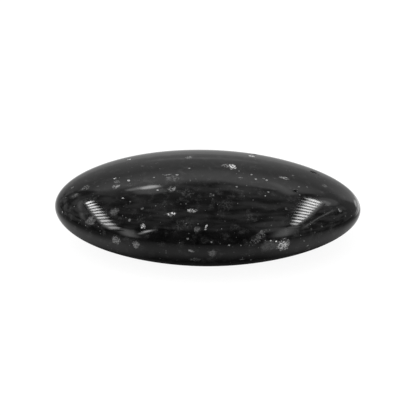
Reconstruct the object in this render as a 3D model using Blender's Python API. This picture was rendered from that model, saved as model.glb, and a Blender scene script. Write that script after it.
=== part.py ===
"""A basalt massage stone: one solid elongated pebble, polished all over, with a small ground flat to rest on.

The stone lies along X, its width is along Y and its thickness along Z, in metres. The origin is below the
middle of the stone, in the plane of the flat that it rests on. The whole stone is a single piece of rock.
"""

import math

import bmesh
import bpy
from mathutils import Vector, noise

# Driving dimensions, before the flat is ground.
LENGTH = 0.100
WIDTH = 0.058
THICKNESS = 0.030
FLAT_DEPTH = 0.0004  # ground off the underside, which leaves a flat about 22 mm long and 13 mm wide

# The pebble's form.
OUTLINE_POWER = 1.95  # 2 is an ellipse seen from above, and less makes the two ends a little more pointed
TAPER = 0.034  # the -X end is this share fuller than an even pebble, and the +X end this share slimmer
UNEVENNESS = 0.00012  # how far the hand-polished surface strays from the true form
UNEVEN_PITCH = 0.026  # the distance between its gentle rises

CELLS = 16  # faces along each side of the cube that is rounded into the pebble


def clear_scene():
    for obj in list(bpy.data.objects):
        bpy.data.objects.remove(obj)


def true_form(direction):
    """The point of an even, egg-like pebble in this unit direction from its centre."""
    along = direction.x
    across = math.hypot(direction.y, direction.z)
    reach = (abs(along) ** OUTLINE_POWER + across**OUTLINE_POWER) ** (-1 / OUTLINE_POWER)
    girth = reach * (1 - TAPER * along)
    return Vector(
        (
            LENGTH / 2 * reach * along,
            WIDTH / 2 * girth * direction.y,
            THICKNESS / 2 * girth * direction.z,
        )
    )


def surface_point(direction):
    point = true_form(direction)
    outward = Vector((point.x / LENGTH**2, point.y / WIDTH**2, point.z / THICKNESS**2)).normalized()
    return point + outward * UNEVENNESS * noise.noise(point / UNEVEN_PITCH)


def pebble():
    """A cube of even cells swollen into the pebble, so that its surface has no poles."""
    mesh = bmesh.new()
    bmesh.ops.create_cube(mesh, size=2)
    bmesh.ops.subdivide_edges(mesh, edges=mesh.edges[:], cuts=CELLS - 1, use_grid_fill=True)
    for vert in mesh.verts:
        evened = Vector([math.tan(math.pi / 4 * value) for value in vert.co])
        vert.co = surface_point(evened.normalized())
    return mesh


def grind_flat(mesh):
    lowest = min(vert.co.z for vert in mesh.verts)
    cut = bmesh.ops.bisect_plane(
        mesh,
        geom=mesh.verts[:] + mesh.edges[:] + mesh.faces[:],
        dist=1e-7,
        plane_co=(0, 0, lowest + FLAT_DEPTH),
        plane_no=(0, 0, -1),
        clear_outer=True,
    )
    rim = [item for item in cut["geom_cut"] if isinstance(item, bmesh.types.BMEdge)]
    bmesh.ops.contextual_create(mesh, geom=rim)
    bmesh.ops.recalc_face_normals(mesh, faces=mesh.faces[:])


def stand_on_origin(mesh):
    """Centres the stone over the origin, with its flat at z = 0."""
    low = Vector([min(vert.co[axis] for vert in mesh.verts) for axis in range(3)])
    high = Vector([max(vert.co[axis] for vert in mesh.verts) for axis in range(3)])
    middle = (low + high) / 2
    bmesh.ops.translate(mesh, verts=mesh.verts[:], vec=(-middle.x, -middle.y, -low.z))


def polished_basalt():
    material = bpy.data.materials.new("polished_basalt")
    material.use_nodes = True
    shader = material.node_tree.nodes["Principled BSDF"]
    shader.inputs["Base Color"].default_value = (0.010, 0.010, 0.010, 1)
    shader.inputs["Roughness"].default_value = 0.08
    shader.inputs["Metallic"].default_value = 0.0
    return material


def massage_stone():
    mesh = pebble()
    grind_flat(mesh)
    stand_on_origin(mesh)
    data = bpy.data.meshes.new("massage_stone")
    mesh.to_mesh(data)
    mesh.free()
    data.materials.append(polished_basalt())
    data.shade_smooth()
    stone = bpy.data.objects.new("massage_stone", data)
    bpy.context.scene.collection.objects.link(stone)


clear_scene()
massage_stone()
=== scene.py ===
"""A polished basalt massage stone in a white studio.

The stone is rebuilt at a fine scale over its CAD solid, with its pits and chips as real hollows and its
mineral crystals drawn by the material. Lengths are in metres unless a name or a comment says millimetres.
Directions are from the stone, with +X to its right, +Y behind it and +Z up, and needn't be of unit length.
"""

import math
import random

import bmesh
import bpy
import numpy as np
from mathutils import Matrix, Quaternion, Vector, noise
from mathutils.bvhtree import BVHTree


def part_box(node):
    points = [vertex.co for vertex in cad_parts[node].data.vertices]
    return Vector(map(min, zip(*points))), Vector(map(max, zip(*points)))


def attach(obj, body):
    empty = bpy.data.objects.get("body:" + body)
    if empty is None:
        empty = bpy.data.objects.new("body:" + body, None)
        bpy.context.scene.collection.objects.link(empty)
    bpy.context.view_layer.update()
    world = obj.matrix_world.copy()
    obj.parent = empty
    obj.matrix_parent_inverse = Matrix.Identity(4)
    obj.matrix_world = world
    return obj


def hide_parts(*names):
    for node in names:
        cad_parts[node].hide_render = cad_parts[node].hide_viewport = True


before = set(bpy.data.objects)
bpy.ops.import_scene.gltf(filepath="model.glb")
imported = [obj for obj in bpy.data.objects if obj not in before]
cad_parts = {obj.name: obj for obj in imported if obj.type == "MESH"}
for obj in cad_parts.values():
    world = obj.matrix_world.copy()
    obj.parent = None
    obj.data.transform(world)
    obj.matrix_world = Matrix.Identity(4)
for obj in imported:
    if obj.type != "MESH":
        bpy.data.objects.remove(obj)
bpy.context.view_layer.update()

NODE = "massage_stone"
LOW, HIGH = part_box(NODE)
CENTRE = (LOW + HIGH) / 2
MM = 0.001

# The pebble's form, as in its CAD solid.
LENGTH = 0.100
WIDTH = 0.058
THICKNESS = 0.030
FLAT_DEPTH = 0.0004
OUTLINE_POWER = 1.95
TAPER = 0.034
UNEVENNESS = 0.00012
UNEVEN_PITCH = 0.026

CELLS = 92  # faces along each side of the cube that is rounded into the stone
HOLLOW_CUTS = 4  # further cuts across each face near a pit
HOLLOW_SLOPE = 0.45  # how much of a hollow's half width its sloping side takes
HOLLOW_RAGGED = 0.25  # how far its rim strays, of its half width
HOLLOW_STEP = 0.0006  # across the steps in its rim

# The view: from in front and above, aimed a little below the stone's centre, and rolled slightly.
LENS_MM = 150
SENSOR_MM = 36
VIEW_HEIGHT = math.radians(28.35)
VIEW_ROLL = math.radians(0.8)
VIEW_WIDTH = 0.1362  # how much of the stone's plane the frame takes in
VIEW_DISTANCE = VIEW_WIDTH * LENS_MM / SENSOR_MM
VIEW_TOWARD = Vector((0, -math.cos(VIEW_HEIGHT), math.sin(VIEW_HEIGHT)))
VIEW_TURN = (-VIEW_TOWARD).to_track_quat("-Z", "Y") @ Quaternion((0, 0, 1), VIEW_ROLL)
VIEW_RIGHT = VIEW_TURN @ Vector((1, 0, 0))
VIEW_UP = VIEW_TURN @ Vector((0, 1, 0))
VIEW_MIDDLE = CENTRE + VIEW_RIGHT * 0.00008 - VIEW_UP * 0.00063
EYE = VIEW_MIDDLE + VIEW_TOWARD * VIEW_DISTANCE

# Pits and chips on the face, in millimetres: right and up from the view's middle, length, width, depth, and
# their turn in degrees.
HOLLOWS = [
    (34.5, 11.7, 2.6, 1.7, 0.80, -12),
    (36.1, 10.9, 0.9, 0.7, 0.35, 0),
    (28.6, 5.5, 1.6, 1.2, 0.45, 10),
    (15.4, 17.5, 1.6, 2.0, 0.25, 0),
    (-11.9, 6.2, 0.6, 0.5, 0.15, 0),
]

# Crystals on the face, in millimetres: right and up from the view's middle, length and width, and then their
# turn in degrees and their paleness. A cluster is made of many grains, some pale and some dark, and a single
# crystal is more even.
CLUSTERS = [
    (7.9, 13.6, 3.6, 2.8, 90, 0.36),
    (5.7, 13.9, 2.8, 2.4, 90, 0.13),
    (-12.4, -1.9, 3.4, 1.4, 4, 0.24),
    (-5.1, -0.8, 3.5, 1.4, 4, 0.12),
    (-21.1, -6.0, 1.9, 1.6, 20, 0.20),
    (-30.1, -10.4, 3.4, 2.7, 60, 0.07),
    (24.7, -12.2, 4.4, 4.2, 0, 0.19),
    (16.3, -9.9, 8.0, 2.4, 42, 0.032),
    (-11.6, 9.6, 4.8, 3.4, 0, 0.035),
    (-11.8, 6.1, 2.6, 2.6, 90, 0.09),
    (1.2, 4.2, 1.8, 1.6, -35, 0.06),
    (-6.1, 16.5, 2.6, 2.2, 0, 0.07),
    (24.9, 9.8, 3.8, 1.6, -8, 0.10),
    (-30.2, 7.0, 2.6, 2.2, 10, 0.09),
    (-29.9, 8.6, 2.4, 1.8, -20, 0.05),
    (-40.1, 6.6, 3.0, 3.0, 30, 0.04),
    (43.3, -0.8, 1.6, 1.4, 40, 0.08),
    (-4.0, -16.9, 4.4, 1.8, 0, 0.035),
    (-7.0, 5.0, 5.0, 3.0, 0, 0.012),
    (-22.0, -3.5, 3.0, 2.6, 0, 0.010),
    (6.0, 1.0, 6.0, 4.0, 20, 0.008),
    (-8.0, -5.5, 7.0, 3.6, 10, 0.008),
    (14.0, -3.0, 5.0, 3.4, -20, 0.008),
    (-43.5, 4.0, 2.6, 2.2, 0, 0.030),
    (33.0, -13.4, 3.0, 2.2, 30, 0.025),
]
SINGLES = [
    (-38.6, -4.3, 3.8, 3.0, 15, 0.070),
    (20.2, -12.5, 6.4, 4.0, 10, 0.036),
    (-0.6, -6.1, 1.4, 0.6, 65, 0.26),
    (-0.9, -7.0, 0.8, 0.5, 0, 0.20),
    (-3.5, -6.9, 2.0, 1.9, 10, 0.045),
    (-23.6, -12.1, 2.7, 2.6, 20, 0.10),
    (-30.6, -1.3, 3.2, 2.9, 0, 0.050),
    (1.5, -14.9, 3.0, 2.6, 90, 0.060),
    (-5.5, -14.1, 2.2, 0.9, -20, 0.14),
    (-44.4, 6.7, 1.2, 0.8, 35, 0.12),
    (-25.8, 15.9, 1.4, 0.7, 10, 0.60),
    (-25.9, 9.0, 0.9, 0.9, 0, 0.35),
    (-30.4, 9.7, 1.0, 0.7, 15, 0.35),
    (-17.7, 10.0, 0.7, 0.6, 0, 0.12),
    (-16.5, 5.9, 0.9, 0.6, 0, 0.40),
    (-10.2, 10.9, 1.2, 0.8, 0, 0.30),
    (-6.2, 13.0, 0.8, 0.8, 0, 0.20),
    (-13.3, 10.9, 2.8, 0.6, 10, 0.13),
    (-21.4, 13.7, 1.4, 0.6, 0, 0.05),
    (10.2, 12.1, 0.5, 0.5, 0, 0.25),
    (14.2, 10.9, 0.8, 0.8, 0, 0.22),
    (15.7, 9.5, 1.1, 0.7, -20, 0.26),
    (18.2, 9.6, 1.0, 0.6, 0, 0.10),
    (19.3, 9.1, 0.8, 0.7, -20, 0.22),
    (10.6, 9.9, 1.6, 0.6, 0, 0.12),
    (25.4, 10.0, 1.6, 0.5, -8, 0.30),
    (27.8, 10.6, 1.0, 0.8, 0, 0.07),
    (14.1, 17.0, 2.4, 1.3, 0, 0.70),
    (-27.9, 3.2, 0.9, 0.6, -35, 0.20),
    (-25.8, -4.0, 0.9, 0.9, 0, 0.12),
    (-21.5, -0.2, 1.0, 0.9, 0, 0.06),
    (-47.6, -1.4, 0.9, 0.5, 90, 0.30),
    (-6.6, -10.1, 0.8, 0.7, 0, 0.09),
    (1.1, -11.2, 0.6, 0.6, 0, 0.13),
    (6.9, -12.2, 0.8, 0.5, 0, 0.15),
    (11.2, -16.8, 1.6, 0.7, 0, 0.08),
    (31.5, -10.8, 0.6, 0.6, 0, 0.18),
    (32.6, -12.3, 0.9, 0.6, 0, 0.15),
    (20.3, -10.8, 0.9, 0.7, 0, 0.35),
    (22.5, -10.9, 1.0, 0.6, 0, 0.45),
    (9.5, 6.9, 0.8, 0.7, 0, 0.12),
    (19.7, 5.2, 0.7, 0.6, 0, 0.16),
    (18.7, 4.0, 0.6, 0.6, 0, 0.14),
    (38.3, 7.3, 1.8, 1.8, 0, 0.045),
    (29.7, 7.0, 0.8, 0.7, 0, 0.08),
    (32.4, 6.9, 0.8, 0.7, 0, 0.07),
    (33.9, -6.9, 0.7, 0.6, 0, 0.07),
    (37.3, -6.1, 0.8, 0.7, 0, 0.06),
    (25.6, -0.3, 0.9, 0.9, 0, 0.05),
]
UNSEEN_CLUSTERS = 34  # scattered over the parts of the stone that face away from the view
UNSEEN_SINGLES = 70
LONGEST_CLUSTER = 6.0  # millimetres, of those scattered
LONGEST_SINGLE = 2.2
CLUSTER_SEED = 11
SINGLE_SEED = 12
GRAIN = 0.36  # millimetres across a grain of a crystal
RAGGED = 1.1  # millimetres across the larger steps in a crystal's outline


class Nodes:
    """Adds nodes to a node tree. An input is given as a value or as another node's output."""

    def __init__(self, tree):
        self.tree = tree

    def add(self, kind, inputs=None, **settings):
        made = self.tree.nodes.new("ShaderNode" + kind)
        for name, value in settings.items():
            setattr(made, name, value)
        for name, value in (inputs or {}).items():
            self.put(made.inputs[name], value)
        return made

    def put(self, socket, value):
        if isinstance(value, bpy.types.NodeSocket):
            self.tree.links.new(value, socket)
        else:
            socket.default_value = value

    def math(self, operation, *values, clamp=False):
        made = self.add("Math", dict(enumerate(values)), operation=operation, use_clamp=clamp)
        return made.outputs[0]

    def vector(self, operation, *values):
        made = self.add("VectorMath", dict(enumerate(values)), operation=operation)
        return made.outputs["Value" if operation in ("LENGTH", "DOT_PRODUCT") else "Vector"]

    def scale(self, vector, factor):
        made = self.add("VectorMath", {"Vector": vector, "Scale": factor}, operation="SCALE")
        return made.outputs["Vector"]

    def ramp(self, value, start, end, low=0.0, high=1.0):
        """Goes smoothly from low at start to high at end."""
        inputs = {"Value": value, "From Min": start, "From Max": end, "To Min": low, "To Max": high}
        return self.add("MapRange", inputs, interpolation_type="SMOOTHSTEP").outputs["Result"]

    def mix(self, factor, low, high):
        made = self.add("Mix", {"Factor": factor, "A": low, "B": high}, data_type="FLOAT")
        return made.outputs["Result"]

    def noise(self, vector, pitch, detail=2.0):
        made = self.add("TexNoise", {"Vector": vector, "Scale": 1 / pitch, "Detail": detail})
        return made.outputs["Fac"]

    def attribute(self, name):
        return self.add("Attribute", attribute_name=name).outputs["Vector"]

    def cells(self, vector, pitch):
        return self.add("TexVoronoi", {"Vector": vector, "Scale": 1 / pitch})


# ---------------------------------------------------------------- the stone's form


def true_form(direction):
    along = direction.x
    across = math.hypot(direction.y, direction.z)
    reach = (abs(along) ** OUTLINE_POWER + across**OUTLINE_POWER) ** (-1 / OUTLINE_POWER)
    girth = reach * (1 - TAPER * along)
    return Vector(
        (
            LENGTH / 2 * reach * along,
            WIDTH / 2 * girth * direction.y,
            THICKNESS / 2 * girth * direction.z,
        )
    )


def outward_at(point):
    return Vector((point.x / LENGTH**2, point.y / WIDTH**2, point.z / THICKNESS**2)).normalized()


def surface_point(cube_point):
    """Where a point of the cube lands on the stone, before its flat is ground and it is stood on it."""
    direction = Vector([math.tan(math.pi / 4 * value) for value in cube_point]).normalized()
    point = true_form(direction)
    return point + outward_at(point) * UNEVENNESS * noise.noise(point / UNEVEN_PITCH)


class Mark:
    """A spot on the stone's surface: its centre, and its own axes, along, across and outward."""

    def __init__(self, centre, outward, turn):
        self.centre = centre
        level = (Vector((1, 0, 0)) - outward * outward.x).normalized()
        level = Matrix.Rotation(math.radians(turn), 3, outward) @ level
        self.axes = Matrix((level, outward.cross(level), outward))

    def local(self, point):
        return self.axes @ (point - self.centre)


def mark_on_face(surface, right, up, turn):
    """The mark that is seen this many millimetres right of and above the middle of the view."""
    toward = VIEW_MIDDLE + VIEW_RIGHT * (right * MM) + VIEW_UP * (up * MM) - EYE
    centre, outward, _, _ = surface.ray_cast(EYE, toward.normalized())
    return Mark(centre, outward, turn)


def mark_elsewhere(surface, chance):
    """A mark in a random place on a part of the stone that faces away from the view."""
    while True:
        direction = Vector([chance.gauss(0, 1) for _ in range(3)]).normalized()
        across = Vector((direction.x * LENGTH, direction.y * WIDTH, direction.z * THICKNESS))
        centre, outward, _, _ = surface.ray_cast(CENTRE, across.normalized())
        if outward.dot(VIEW_TOWARD) < -0.05:
            return Mark(centre, outward, chance.uniform(-90, 90))


def cad_surface():
    mesh = bmesh.new()
    mesh.from_mesh(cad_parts[NODE].data)
    surface = BVHTree.FromBMesh(mesh)
    mesh.free()
    return surface


def hollow_depth(point, hollows):
    """How deep a hollow is at this point of the surface, and how far down it that is, from 0 to 1."""
    deepest, share = 0.0, 0.0
    for mark, length, width, depth in hollows:
        place = mark.local(point)
        if place.length > 2 * length:
            continue
        ragged = HOLLOW_RAGGED * noise.noise(point / HOLLOW_STEP)
        reach = math.hypot(place.x / (length / 2), place.y / (width / 2)) + ragged
        down = min(max((1 - reach) / HOLLOW_SLOPE, 0), 1)
        down = down * down * (3 - 2 * down)
        if down * depth > deepest:
            deepest, share = down * depth, down
    return deepest, share


def stone_mesh(hollows):
    mesh = bmesh.new()
    bmesh.ops.create_cube(mesh, size=2)
    bmesh.ops.subdivide_edges(mesh, edges=mesh.edges[:], cuts=CELLS - 1, use_grid_fill=True)
    rise = Vector((0, 0, THICKNESS / 2 - FLAT_DEPTH))
    refine_near_hollows(mesh, hollows, rise)
    for vert in mesh.verts:
        vert.co = surface_point(vert.co) + rise
    low = min(vert.co.z for vert in mesh.verts)
    share_layer = mesh.verts.layers.float.new("hollow")
    for vert in mesh.verts:
        outward = outward_at(vert.co - rise)
        depth, vert[share_layer] = hollow_depth(vert.co, hollows)
        vert.co -= outward * depth
        vert.co.z = max(vert.co.z, low + FLAT_DEPTH)
    fit_to_cad(mesh)
    return mesh


def refine_near_hollows(mesh, hollows, rise):
    edges = set()
    for face in mesh.faces:
        middle = surface_point(face.calc_center_median()) + rise
        for mark, length, width, _depth in hollows:
            if (middle - mark.centre).length < 0.7 * max(length, width) + 0.6 * MM:
                edges.update(face.edges)
    bmesh.ops.subdivide_edges(mesh, edges=list(edges), cuts=HOLLOW_CUTS, use_grid_fill=True)


def fit_to_cad(mesh):
    """Makes the stone's box that of its CAD solid, from which it differs by under a tenth of a millimetre."""
    for axis in range(3):
        low = min(vert.co[axis] for vert in mesh.verts)
        high = max(vert.co[axis] for vert in mesh.verts)
        stretch = (HIGH[axis] - LOW[axis]) / (high - low)
        for vert in mesh.verts:
            vert.co[axis] = LOW[axis] + (vert.co[axis] - low) * stretch


# ---------------------------------------------------------------- the stone's material


def face_crystals(surface, table):
    return [
        (mark_on_face(surface, right, up, turn), length, width, paleness)
        for right, up, length, width, turn, paleness in table
    ]


def unseen_crystals(surface, count, longest, seed):
    chance = random.Random(seed)
    found = []
    for _ in range(count):
        mark = mark_elsewhere(surface, chance)
        length = longest * chance.uniform(0.35, 1) ** 1.5
        width = length * chance.uniform(0.55, 0.95)
        found.append((mark, length, width, 0.03 + 0.3 * chance.random() ** 2.5))
    return found


def carry_crystals(data, name, crystals):
    """Tells each face of the mesh which crystal is nearest, counted in that crystal's own half widths.

    Three attributes hold the place of each corner from that crystal's centre, in millimetres, the direction
    in which the crystal is stretched, with how much as its length, and its half width in millimetres with its
    paleness.
    """
    centres = np.array([mark.centre / MM for mark, _, _, _ in crystals])
    stretches = np.array(
        [mark.axes[0] * math.sqrt(1 - (width / length) ** 2) for mark, length, width, _ in crystals]
    )
    forms = np.array([(width / 2, paleness, 0) for _, _, width, paleness in crystals])

    middles = np.empty(len(data.polygons) * 3)
    data.polygons.foreach_get("center", middles)
    middles = middles.reshape(-1, 3) / MM
    nearest = np.zeros(len(middles), int)
    least = np.full(len(middles), np.inf)
    for index, (centre, stretch, form) in enumerate(zip(centres, stretches, forms)):
        offset = middles - centre
        reach = ((offset**2).sum(axis=1) - (offset @ stretch) ** 2) / form[0] ** 2
        nearer = reach < least
        nearest[nearer] = index
        least[nearer] = reach[nearer]

    points = np.empty(len(data.vertices) * 3)
    data.vertices.foreach_get("co", points)
    corners = np.empty(len(data.loops), int)
    data.loops.foreach_get("vertex_index", corners)
    sides = np.empty(len(data.polygons), int)
    data.polygons.foreach_get("loop_total", sides)
    offsets = points.reshape(-1, 3)[corners] / MM - centres[np.repeat(nearest, sides)]
    put_attribute(data, name + "_place", "CORNER", offsets)
    put_attribute(data, name + "_stretch", "FACE", stretches[nearest])
    put_attribute(data, name + "_form", "FACE", forms[nearest])


def put_attribute(data, name, domain, vectors):
    attribute = data.attributes.new(name, "FLOAT_VECTOR", domain)
    attribute.data.foreach_set("vector", vectors.astype(np.float32).ravel())


def crystal_paleness(nodes, name, shift):
    """The paleness of the nearest crystal, fading to 0 beside it. Its outline follows the shift."""
    form = nodes.add("SeparateXYZ", {"Vector": nodes.attribute(name + "_form")})
    half_width, paleness = form.outputs["X"], form.outputs["Y"]
    follow = nodes.math("MULTIPLY", half_width, 0.8, clamp=True)
    place = nodes.vector("ADD", nodes.attribute(name + "_place"), nodes.scale(shift, follow))
    along = nodes.vector("DOT_PRODUCT", place, nodes.attribute(name + "_stretch"))
    square = nodes.vector("DOT_PRODUCT", place, place)
    square = nodes.math("SUBTRACT", square, nodes.math("MULTIPLY", along, along))
    reach = nodes.math("DIVIDE", nodes.math("SQRT", square), half_width)
    return nodes.math("MULTIPLY", nodes.ramp(reach, 1.15, 0.6), paleness)


def scattered(nodes, place, pitch, share, radius, paleness):
    """Round flecks, one to each cell of the rock at most, in the given share of the cells. In millimetres."""
    cell = nodes.cells(place, pitch)
    pick = nodes.add("SeparateColor", {"Color": cell.outputs["Color"]})
    chosen = nodes.math("LESS_THAN", pick.outputs["Red"], share)
    size = nodes.math("MULTIPLY", pick.outputs["Green"], radius)
    reach = nodes.math("MULTIPLY", cell.outputs["Distance"], pitch)
    inside = nodes.math("SUBTRACT", 1.0, nodes.math("DIVIDE", reach, size), clamp=True)
    strength = nodes.math("MULTIPLY", nodes.math("MULTIPLY", inside, 3.0, clamp=True), chosen)
    tone = nodes.math("MULTIPLY", nodes.math("POWER", pick.outputs["Blue"], 2.0), paleness)
    return nodes.math("MULTIPLY", strength, tone)


def basalt():
    material = bpy.data.materials.new("polished_basalt")
    material.use_nodes = True
    nodes = Nodes(material.node_tree)
    shader = material.node_tree.nodes["Principled BSDF"]
    place = nodes.scale(nodes.add("TexCoord").outputs["Object"], 1 / MM)

    grains = nodes.cells(place, GRAIN)
    chance = nodes.add("SeparateColor", {"Color": grains.outputs["Color"]}).outputs["Red"]
    wander = nodes.add("TexNoise", {"Vector": place, "Scale": 1 / RAGGED, "Detail": 1.0}).outputs["Color"]
    wander = nodes.scale(nodes.vector("SUBTRACT", wander, (0.5, 0.5, 0.5)), 1.8 * RAGGED)
    shift = nodes.vector("ADD", nodes.vector("SUBTRACT", grains.outputs["Position"], place), wander)
    clusters = crystal_paleness(nodes, "cluster", shift)
    clusters = nodes.math("MULTIPLY", clusters, nodes.ramp(chance, 0.2, 1.05, 0.15, 2.6))
    singles = crystal_paleness(nodes, "single", shift)
    singles = nodes.math("MULTIPLY", singles, nodes.ramp(chance, 0.0, 1.0, 0.5, 1.5))
    small = scattered(nodes, place, 3.2, 0.4, 0.38, 0.16)
    dust = scattered(nodes, place, 1.0, 0.6, 0.24, 0.15)
    haze = nodes.ramp(nodes.noise(place, 2.4, 5.0), 0.50, 0.76, 0.0, 0.014)
    haze = nodes.math("MULTIPLY", haze, nodes.ramp(chance, 0.0, 1.0, 0.4, 1.6))
    crystal = clusters
    for layer in (singles, small, dust, haze):
        crystal = nodes.math("MAXIMUM", crystal, layer)

    ground = nodes.ramp(nodes.noise(place, 6.0, 4.0), 0.3, 0.7, 0.0020, 0.0045)
    tone = nodes.math("ADD", crystal, ground)
    hollow = nodes.add("Attribute", attribute_name="hollow").outputs["Fac"]
    # Painted shade: the base colour is darkened to 0.4 of itself down inside the pits and chips.
    tone = nodes.math("MULTIPLY", tone, nodes.ramp(hollow, 0.0, 0.6, 1.0, 0.4))
    colour = nodes.add("CombineColor", {"Red": tone, "Green": tone, "Blue": tone})
    nodes.put(shader.inputs["Base Color"], colour.outputs["Color"])

    softness = nodes.ramp(nodes.noise(place, 3.0, 5.0), 0.3, 0.75, 0.05, 0.085)
    softness = nodes.math("ADD", softness, nodes.math("MULTIPLY", crystal, 0.5))
    softness = nodes.math("ADD", softness, nodes.math("MULTIPLY", hollow, 0.5))
    nodes.put(shader.inputs["Roughness"], softness)
    shader.inputs["IOR"].default_value = 1.36

    peel = nodes.math("MULTIPLY", nodes.noise(place, 5.0, 1.0), 0.010)
    grit = nodes.math("MULTIPLY", nodes.noise(place, 0.35, 2.0), nodes.math("MULTIPLY", crystal, 0.020))
    height = nodes.math("ADD", peel, grit)
    bump = nodes.add("Bump", {"Height": height, "Distance": MM, "Strength": 1.0})
    nodes.put(shader.inputs["Normal"], bump.outputs["Normal"])
    return material


def add_stone():
    surface = cad_surface()
    hollows = [
        (mark_on_face(surface, right, up, turn), length * MM, width * MM, depth * MM)
        for right, up, length, width, depth, turn in HOLLOWS
    ]
    mesh = stone_mesh(hollows)
    data = bpy.data.meshes.new("polished_stone")
    mesh.to_mesh(data)
    mesh.free()
    clusters = face_crystals(surface, CLUSTERS)
    clusters += unseen_crystals(surface, UNSEEN_CLUSTERS, LONGEST_CLUSTER, CLUSTER_SEED)
    singles = face_crystals(surface, SINGLES)
    singles += unseen_crystals(surface, UNSEEN_SINGLES, LONGEST_SINGLE, SINGLE_SEED)
    carry_crystals(data, "cluster", clusters)
    carry_crystals(data, "single", singles)
    data.materials.append(basalt())
    data.shade_smooth()
    stone = bpy.data.objects.new("polished_stone", data)
    bpy.context.scene.collection.objects.link(stone)
    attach(stone, "root")
    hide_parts(NODE)


# ---------------------------------------------------------------- the studio

FLOOR_RADIUS = 6.0
FLOOR_CORNERS = 96
FLOOR_SEEN = 0.92  # how brightly the table shines to the camera
LAMP_DISTANCE = 2.0
HOUSING_BEHIND = 0.05  # how far a lamp's housing is behind its bars
TIP_GLOW = 0.15  # at the point of a bar, of its glow
BARS_CLOSER = 0.88  # how far apart a lamp's bars are at its back, of their average
LAST_BAR = 0.6  # the bar at the front, of the others' glow

# Painted shade on the mirrored table's glow, toward the stone's two ends: the direction, and its dot product
# with the way outward where the painted shade starts and where it is full.
PAINTED_SHADE_ENDS = [
    ((-0.98, -0.20, 0.0), 0.80, 0.95),
    ((1.0, 0.0, 0.0), 0.93, 0.99),
]

# Painted pools of light on the mirrored table: the middle, the radius at which the glow has gone, and the
# glow.
PAINTED_LIGHT_SPOTS = [
    ((0.105, 0.065, 0.0), 0.05, 2.4),
    ((0.23, 0.19, 0.0), 0.13, 3.0),
]

# Directions to the outer and the inner side of each barred lamp, at its back, middle and front.
LEFT_LAMP = [
    ((-0.66, 0.37, 0.65), (-0.58, 0.41, 0.70)),
    ((-0.75, -0.06, 0.66), (-0.64, -0.05, 0.77)),
    ((-0.735, -0.595, 0.32), (-0.64, -0.62, 0.45)),
]
RIGHT_LAMP = [
    ((0.54, 0.45, 0.71), (0.43, 0.52, 0.74)),
    ((0.61, 0.06, 0.79), (0.50, 0.11, 0.86)),
    ((0.64, -0.41, 0.65), (0.58, -0.38, 0.72)),
]


def stage_object(name, verts, faces, material):
    data = bpy.data.meshes.new(name)
    data.from_pydata(verts, [], faces)
    data.materials.append(material)
    thing = bpy.data.objects.new(name, data)
    bpy.context.scene.collection.objects.link(thing)
    return thing


def painted_table_shading(nodes):
    """How brightly the table glows where the stone mirrors it, as painted shade and light: a painted shadow
    dark close under the stone, painted shade in front of it, and dimmer far away.
    """
    place = nodes.add("TexCoord").outputs["Object"]
    depth = nodes.add("SeparateXYZ", {"Vector": place}).outputs["Y"]
    ringed = nodes.vector("DIVIDE", place, (LENGTH / 2, WIDTH / 2, 1.0))
    reach = nodes.vector("LENGTH", ringed)
    outward = nodes.vector("NORMALIZE", place)
    frontal = nodes.math("ABSOLUTE", nodes.add("SeparateXYZ", {"Vector": outward}).outputs["X"])
    frontal = nodes.math("MULTIPLY", nodes.ramp(frontal, 0.85, 0.5), nodes.ramp(depth, 0.0, -0.015))
    nearer = nodes.math("SUBTRACT", reach, nodes.math("MULTIPLY", frontal, 0.1))
    near = nodes.ramp(nearer, 0.78, 1.35, 0.04, 0.92)
    far = nodes.math("MULTIPLY", nodes.math("POWER", nodes.math("MAXIMUM", reach, 0.01), -0.65), 1.35)
    far = nodes.math("MAXIMUM", far, nodes.ramp(depth, 0.0, 0.1, 0.2, 0.5))
    mirrored = nodes.math("MINIMUM", near, far)
    mirrored = nodes.math("MULTIPLY", mirrored, nodes.math("MULTIPLY_ADD", frontal, -0.3, 1.0))
    for end, start, full in PAINTED_SHADE_ENDS:
        endward = nodes.vector("DOT_PRODUCT", outward, end)
        darker = nodes.ramp(endward, start, full, 0.0, 0.6)
        darker = nodes.math("MULTIPLY", darker, nodes.ramp(reach, 1.2, 2.2))
        mirrored = nodes.math("MULTIPLY", mirrored, nodes.math("SUBTRACT", 1.0, darker))
    for spot, radius, glow in PAINTED_LIGHT_SPOTS:
        from_spot = nodes.vector("LENGTH", nodes.vector("SUBTRACT", place, spot))
        mirrored = nodes.math("MAXIMUM", mirrored, nodes.ramp(from_spot, radius, 0.4 * radius, 0.0, glow))
    return mirrored


def add_floor():
    """A white table that glows evenly to the camera, with a very faint shadow. Where the stone mirrors it, it
    glows with painted shadow and painted light instead.
    """
    material = bpy.data.materials.new("white_table")
    material.use_nodes = True
    nodes = Nodes(material.node_tree)
    shader = material.node_tree.nodes["Principled BSDF"]
    seen = nodes.add("LightPath").outputs["Is Camera Ray"]
    tone = nodes.math("MULTIPLY", seen, 0.12)
    colour = nodes.add("CombineColor", {"Red": tone, "Green": tone, "Blue": tone})
    nodes.put(shader.inputs["Base Color"], colour.outputs["Color"])
    shader.inputs["Emission Color"].default_value = (1, 1, 1, 1)
    nodes.put(shader.inputs["Emission Strength"], nodes.mix(seen, painted_table_shading(nodes), FLOOR_SEEN))
    shader.inputs["Roughness"].default_value = 0.9
    shader.inputs["Specular IOR Level"].default_value = 0.0
    turns = [math.tau * corner / FLOOR_CORNERS for corner in range(FLOOR_CORNERS)]
    rim = [(FLOOR_RADIUS * math.cos(turn), FLOOR_RADIUS * math.sin(turn), LOW.z) for turn in turns]
    stage_object("table", rim, [tuple(range(FLOOR_CORNERS))], material)


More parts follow.
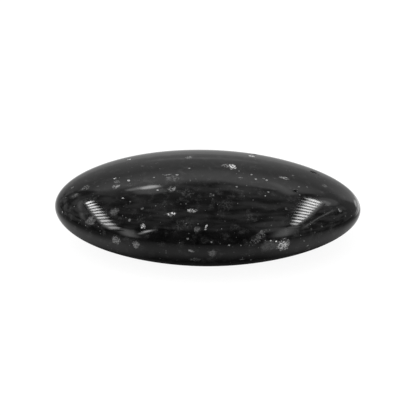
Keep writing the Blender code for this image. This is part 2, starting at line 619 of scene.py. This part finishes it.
def glowing(name):
    """Shines as strongly as the mesh's own glow attribute says."""
    material = bpy.data.materials.new(name)
    material.use_nodes = True
    nodes = Nodes(material.node_tree)
    output = material.node_tree.nodes["Material Output"]
    strength = nodes.add("Attribute", attribute_name="glow").outputs["Fac"]
    glow = nodes.add("Emission", {"Strength": strength})
    material.node_tree.links.new(glow.outputs["Emission"], output.inputs["Surface"])
    return material


def only_mirrored(thing):
    thing.visible_camera = False
    thing.visible_diffuse = False
    thing.visible_shadow = False


def through(back, middle, front, share):
    """A direction on the smooth curve through three, from the first at share 0 to the last at 1."""
    from_back = Vector(back) * ((1 - share) * (1 - 2 * share))
    from_middle = Vector(middle) * (4 * share * (1 - share))
    from_front = Vector(front) * (share * (2 * share - 1))
    return from_back + from_middle + from_front


def along_lamp(share):
    """How far along a lamp this share of its bars takes it. They lie closer together at the back."""
    return share * (BARS_CLOSER + (1 - BARS_CLOSER) * share)


def add_lamp(name, directions, bars, bar_glows, outer_glows, inner_glows):
    """A long lamp of bright bars with pointed, fading ends, in front of a dimmer housing.

    The glows are those of the bars and of the housing's two sides, each at the back and at the front.
    """
    outer_side, inner_side = zip(*directions)
    verts, faces, glows = [], [], []

    def add_face(corners, distance):
        faces.append(tuple(range(len(verts), len(verts) + len(corners))))
        for share, across, glow in corners:
            direction = through(*outer_side, share).lerp(through(*inner_side, share), across)
            verts.append(CENTRE + direction * distance)
            glows.append(glow)

    for bar in range(bars):
        start, middle, end = [along_lamp((bar + part) / bars) for part in (0.25, 0.5, 0.75)]
        glow = np.interp(middle, (0, 1), bar_glows)
        if bar == bars - 1:
            glow *= LAST_BAR
        outer = [(start, 0.15, glow), (end, 0.15, glow)]
        inner = [(end, 0.65, glow), (start, 0.65, glow)]
        add_face([(middle, -0.12, TIP_GLOW * glow), *outer[::-1]], LAMP_DISTANCE)
        add_face(outer + inner, LAMP_DISTANCE)
        add_face([(middle, 1.25, TIP_GLOW * glow), *inner[::-1]], LAMP_DISTANCE)
        near, far = along_lamp(bar / bars), along_lamp((bar + 1) / bars)
        outer = [(share, 0.1, np.interp(share, (0, 1), outer_glows)) for share in (near, far)]
        inner = [(share, 0.95, np.interp(share, (0, 1), inner_glows)) for share in (far, near)]
        edge = [(share, -0.45, 0.0) for share in (far, near)]
        add_face(outer + inner, LAMP_DISTANCE + HOUSING_BEHIND)
        add_face(outer + edge, LAMP_DISTANCE + HOUSING_BEHIND)
    lamp = stage_object(name, verts, faces, glowing(name))
    lamp.data.attributes.new("glow", "FLOAT", "POINT").data.foreach_set("value", glows)
    only_mirrored(lamp)


def patch(nodes, direction, towards, inner, outer, glow):
    """A soft round glow around a direction. In degrees, it is full within inner and gone past outer."""
    towards = Vector(towards).normalized()
    nearness = nodes.vector("DOT_PRODUCT", direction, tuple(towards))
    gone, full = math.cos(math.radians(outer)), math.cos(math.radians(inner))
    return nodes.ramp(nearness, gone, full, 0.0, glow)


def streak(nodes, direction, start, end, width, glow):
    """A soft line of light between two directions, brightest at its middle. The width in degrees is from its
    middle to where it has gone."""
    start, end = Vector(start).normalized(), Vector(end).normalized()
    side = start.cross(end).normalized()
    off = nodes.math("ABSOLUTE", nodes.vector("DOT_PRODUCT", direction, tuple(side)))
    thin = nodes.ramp(off, math.radians(width), 0.0)
    length = math.degrees(start.angle(end))
    around = patch(nodes, direction, start + end, 0.1 * length, 0.55 * length, glow)
    return nodes.math("MULTIPLY", thin, around)


def dim_room(nodes, direction, x, y, z):
    """How bright the room is in each direction: uneven, and almost dark low in front."""
    bands = nodes.add("CombineXYZ", {"X": nodes.math("MULTIPLY", x, 1.2), "Y": y, "Z": z}).outputs["Vector"]
    room = nodes.ramp(nodes.noise(bands, 0.16, 2.0), 0.35, 0.70, 0.12, 0.75)
    room = nodes.math("MULTIPLY", room, nodes.math("MULTIPLY_ADD", x, 0.1, 1.0))
    front = nodes.math("MULTIPLY", nodes.ramp(y, 0.0, -0.3), nodes.ramp(z, 0.80, 0.71))
    aside = nodes.math("ABSOLUTE", nodes.math("DIVIDE", x, nodes.math("MINIMUM", y, -0.001)))
    front = nodes.math("MULTIPLY", front, nodes.ramp(aside, 0.60, 0.45))
    room = nodes.math("MULTIPLY", room, nodes.ramp(front, 0.0, 1.0, 1.0, 0.10))
    room = nodes.math("MULTIPLY", room, nodes.ramp(y, -0.1, -0.5, 1.0, 0.7))
    for towards in ((0.40, 0.52, 0.75), (-0.03, 0.40, 0.92)):
        dimming = patch(nodes, direction, towards, 4, 11, 0.5)
        room = nodes.math("MULTIPLY", room, nodes.math("SUBTRACT", 1.0, dimming))
    return room


def pale_wall(nodes, x, y, z):
    """Where the wall behind the stone is, from 0 to 1, and how bright it is there."""
    side = nodes.math("ABSOLUTE", x)
    slope = nodes.math("DIVIDE", x, nodes.math("MAXIMUM", y, 0.01))
    top = nodes.math("SUBTRACT", 0.78, nodes.math("MULTIPLY", nodes.math("MULTIPLY", x, x), 0.55))
    top = nodes.math("SUBTRACT", top, nodes.ramp(side, 0.15, 0.04, 0.0, 0.05))
    within = nodes.ramp(nodes.math("SUBTRACT", top, z), -0.035, 0.03)
    within = nodes.math("MULTIPLY", within, nodes.ramp(y, 0.0, 0.1))
    within = nodes.math("MULTIPLY", within, nodes.ramp(slope, -0.78, -0.66))
    high_glow = nodes.ramp(slope, 0.75, 0.5, 0.62, 1.12)
    wall_glow = nodes.mix(nodes.ramp(z, 0.48, 0.71), 0.43, high_glow)
    ripple = nodes.ramp(nodes.math("ABSOLUTE", nodes.math("SUBTRACT", z, 0.24)), 0.06, 0.0, 0.0, 0.16)
    ripple = nodes.math("MULTIPLY", ripple, nodes.ramp(side, 0.16, 0.06))
    wall_glow = nodes.math("ADD", wall_glow, ripple)
    right_end = nodes.math("MULTIPLY", nodes.ramp(slope, 0.25, 0.75, 0.0, 0.45), nodes.ramp(slope, 1.0, 0.88))
    wall_glow = nodes.math("ADD", wall_glow, nodes.math("MULTIPLY", right_end, nodes.ramp(z, 0.55, 0.40)))
    wall_glow = nodes.math("ADD", wall_glow, nodes.ramp(z, 0.09, 0.05, 0.0, 0.13))
    return within, wall_glow


def studio_lights(nodes, direction, x, y, z):
    """How bright each light is in each direction, apart from the two barred lamps."""
    lights = [
        streak(nodes, direction, (-0.31, 0.55, 0.77), (-0.15, 0.625, 0.77), 3.4, 3.5),
        streak(nodes, direction, (-0.24, 0.565, 0.79), (-0.145, 0.625, 0.77), 3.8, 10.0),
        streak(nodes, direction, (-0.52, -0.79, 0.32), (-0.34, -0.63, 0.70), 1.9, 6.5),
        streak(nodes, direction, (-0.47, -0.75, 0.47), (-0.37, -0.655, 0.66), 1.9, 14.0),
        streak(nodes, direction, (0.12, 0.66, 0.75), (0.32, 0.60, 0.74), 4.0, 1.2),
        streak(nodes, direction, (-0.62, 0.50, 0.60), (-0.84, 0.06, 0.54), 6.0, 1.6),
        streak(nodes, direction, (-0.80, 0.15, 0.58), (-0.93, -0.20, 0.32), 6.0, 1.8),
        streak(nodes, direction, (-0.60, -0.58, 0.55), (-0.565, -0.82, 0.05), 9.0, 3.2),
        streak(nodes, direction, (0.57, -0.45, 0.69), (0.59, -0.79, 0.16), 9.5, 2.9),
        streak(nodes, direction, (0.17, 0.77, 0.61), (0.37, 0.47, 0.80), 5.0, 1.6),
        patch(nodes, direction, (0.63, -0.46, 0.62), 1, 5, 2.4),
        patch(nodes, direction, (0.50, -0.57, 0.65), 0, 10, 1.2),
        patch(nodes, direction, (0.29, 0.48, 0.83), 3, 9, 0.5),
        patch(nodes, direction, (0.45, -0.375, 0.81), 4, 11, 0.95),
        patch(nodes, direction, (0.55, 0.44, 0.71), 0, 7, 2.8),
        patch(nodes, direction, (0.57, 0.49, 0.66), 3, 10, 1.2),
        patch(nodes, direction, (-0.205, 0.52, 0.83), 1, 6, 1.6),
        patch(nodes, direction, (0.65, 0.76, 0.0), 2, 10, 3.0),
        patch(nodes, direction, (-0.77, 0.17, 0.61), 6, 14, 0.85),
    ]
    line = nodes.ramp(nodes.math("ABSOLUTE", nodes.math("SUBTRACT", x, 0.727)), 0.022, 0.0, 0.0, 2.4)
    beside = nodes.math("ABSOLUTE", nodes.math("ADD", y, 0.1))
    line = nodes.math("MULTIPLY", line, nodes.ramp(beside, 0.5, 0.25))
    line = nodes.math("MULTIPLY", line, nodes.ramp(z, 0.3, 0.5))
    return [*lights, line]


def dark_gaps(nodes, direction):
    """How much of the glow is taken away, from 0 to 1, along two narrow gaps."""
    return [
        streak(nodes, direction, (0.33, 0.49, 0.81), (0.43, 0.62, 0.66), 2.4, 0.8),
        streak(nodes, direction, (-0.73, -0.60, 0.33), (-0.61, -0.67, 0.43), 4.5, 0.9),
    ]


def add_world():
    """White to the camera. To the stone it is a dim room with a pale wall behind and darkness in front."""
    world = bpy.data.worlds.new("studio")
    world.use_nodes = True
    nodes = Nodes(world.node_tree)
    direction = nodes.add("TexCoord").outputs["Generated"]
    parts = nodes.add("SeparateXYZ", {"Vector": direction})
    x, y, z = parts.outputs["X"], parts.outputs["Y"], parts.outputs["Z"]
    room = dim_room(nodes, direction, x, y, z)
    within, wall_glow = pale_wall(nodes, x, y, z)
    glow = nodes.mix(within, room, wall_glow)
    for light in studio_lights(nodes, direction, x, y, z):
        glow = nodes.math("MAXIMUM", glow, light)
    for gap in dark_gaps(nodes, direction):
        glow = nodes.math("MULTIPLY", glow, nodes.math("SUBTRACT", 1.0, gap))
    seen = nodes.add("LightPath").outputs["Is Camera Ray"]
    glow = nodes.math("MAXIMUM", glow, seen)
    nodes.put(world.node_tree.nodes["Background"].inputs["Strength"], glow)
    nodes.put(world.node_tree.nodes["Background"].inputs["Color"], (1, 1, 1, 1))
    bpy.context.scene.world = world


def add_key_light():
    """A broad soft light high above, which lights the table and the crystals but isn't mirrored."""
    light = bpy.data.lights.new("key", "SUN")
    light.energy = 3.0
    light.angle = math.radians(70)
    lamp = bpy.data.objects.new("key", light)
    lamp.rotation_euler = (math.radians(25), math.radians(-12), 0)
    lamp.visible_glossy = False
    bpy.context.scene.collection.objects.link(lamp)


def add_camera():
    camera = bpy.data.objects.new("camera", bpy.data.cameras.new("camera"))
    camera.data.lens = LENS_MM
    camera.data.sensor_width = SENSOR_MM
    camera.location = EYE
    camera.rotation_mode = "QUATERNION"
    camera.rotation_quaternion = VIEW_TURN
    bpy.context.scene.collection.objects.link(camera)
    bpy.context.scene.camera = camera


add_camera()
add_stone()
add_floor()
add_world()
add_lamp("left_lamp", LEFT_LAMP, 10, (31, 18), (2.0, 5.5), (1.0, 3.0))
add_lamp("right_lamp", RIGHT_LAMP, 10, (27, 29), (4.5, 3.5), (4.5, 1.0))
add_key_light()
bpy.context.scene.view_settings.view_transform = "Standard"
